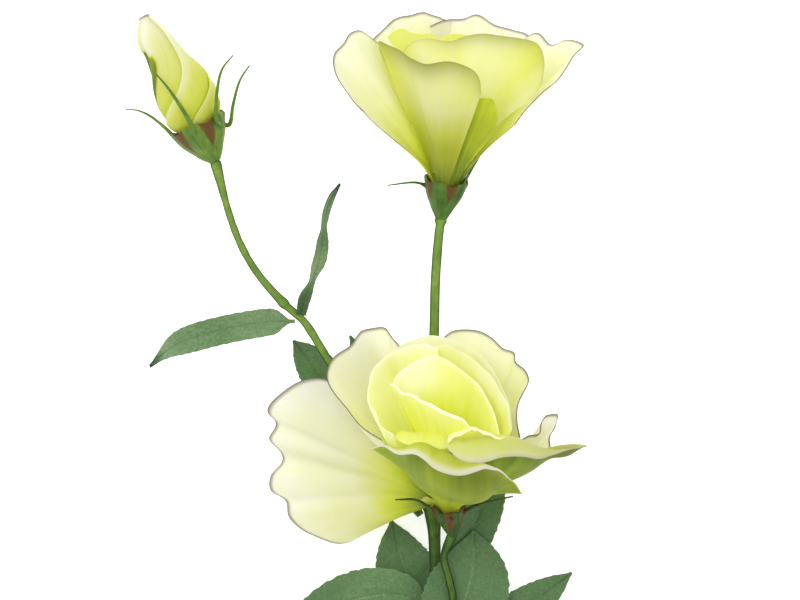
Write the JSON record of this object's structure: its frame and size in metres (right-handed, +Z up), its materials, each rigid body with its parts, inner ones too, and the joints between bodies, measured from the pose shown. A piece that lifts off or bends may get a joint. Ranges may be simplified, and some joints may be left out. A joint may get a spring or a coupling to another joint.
{
  "type": "lisianthus flower spray",
  "caption": "Cut lisianthus spray lying flat: ruffled cream and lime blooms and a rolled bud in ribbed calyxes, on branching green stems with pointed leaves.",
  "frame": {"origin": "on the surface that the spray lies on, under the middle of its bounding box", "axes": "+Y along the stem towards the top bloom, +Z up from the surface, +X to the right when the spray is seen from above with the top bloom at the far end"},
  "size_m": [0.1242, 0.2298, 0.0613],
  "materials": {
    "petal": "satin",
    "bud_petal": "satin",
    "calyx": "satin",
    "stem": "satin",
    "leaf": "matt"
  },
  "bodies": {
    "root": {"main_stem": "stem", "bud_branch": "stem", "open_bloom_stalk": "stem", "top_bloom_calyx": "calyx", "open_bloom_calyx": "calyx", "bud_calyx": "calyx", "branch_left_leaf": "leaf", "branch_twisted_leaf": "leaf", "leaf_behind_branch": "leaf", "leaf_behind_bloom": "leaf", "leaf_behind_stalk": "leaf", "front_leaf": "leaf", "upper_left_leaf": "leaf", "lower_left_leaf": "leaf", "right_leaf": "leaf", "top_bloom_back_left_petal": "petal", "top_bloom_back_right_petal": "petal", "top_bloom_left_petal": "petal", "top_bloom_right_petal": "petal", "top_bloom_front_left_petal": "petal", "top_bloom_front_right_petal": "petal", "top_bloom_front_lobe_petal": "petal", "top_bloom_inner_left_petal": "petal", "top_bloom_inner_back_petal": "petal", "open_bloom_lower_left_petal": "petal", "open_bloom_back_left_petal": "petal", "open_bloom_back_right_petal": "petal", "open_bloom_front_petal": "petal", "open_bloom_right_petal": "petal", "open_bloom_right_back_petal": "petal", "open_bloom_back_inner_petal": "petal", "open_bloom_left_inner_petal": "petal", "open_bloom_right_inner_petal": "petal", "open_bloom_heart_back_petal": "petal", "open_bloom_heart_front_petal": "petal", "open_bloom_heart_right_petal": "petal", "open_bloom_front_inner_petal": "petal", "bud_petal_1": "bud_petal", "bud_petal_2": "bud_petal", "bud_petal_3": "bud_petal", "bud_petal_4": "bud_petal"}
  },
  "joints": []
}
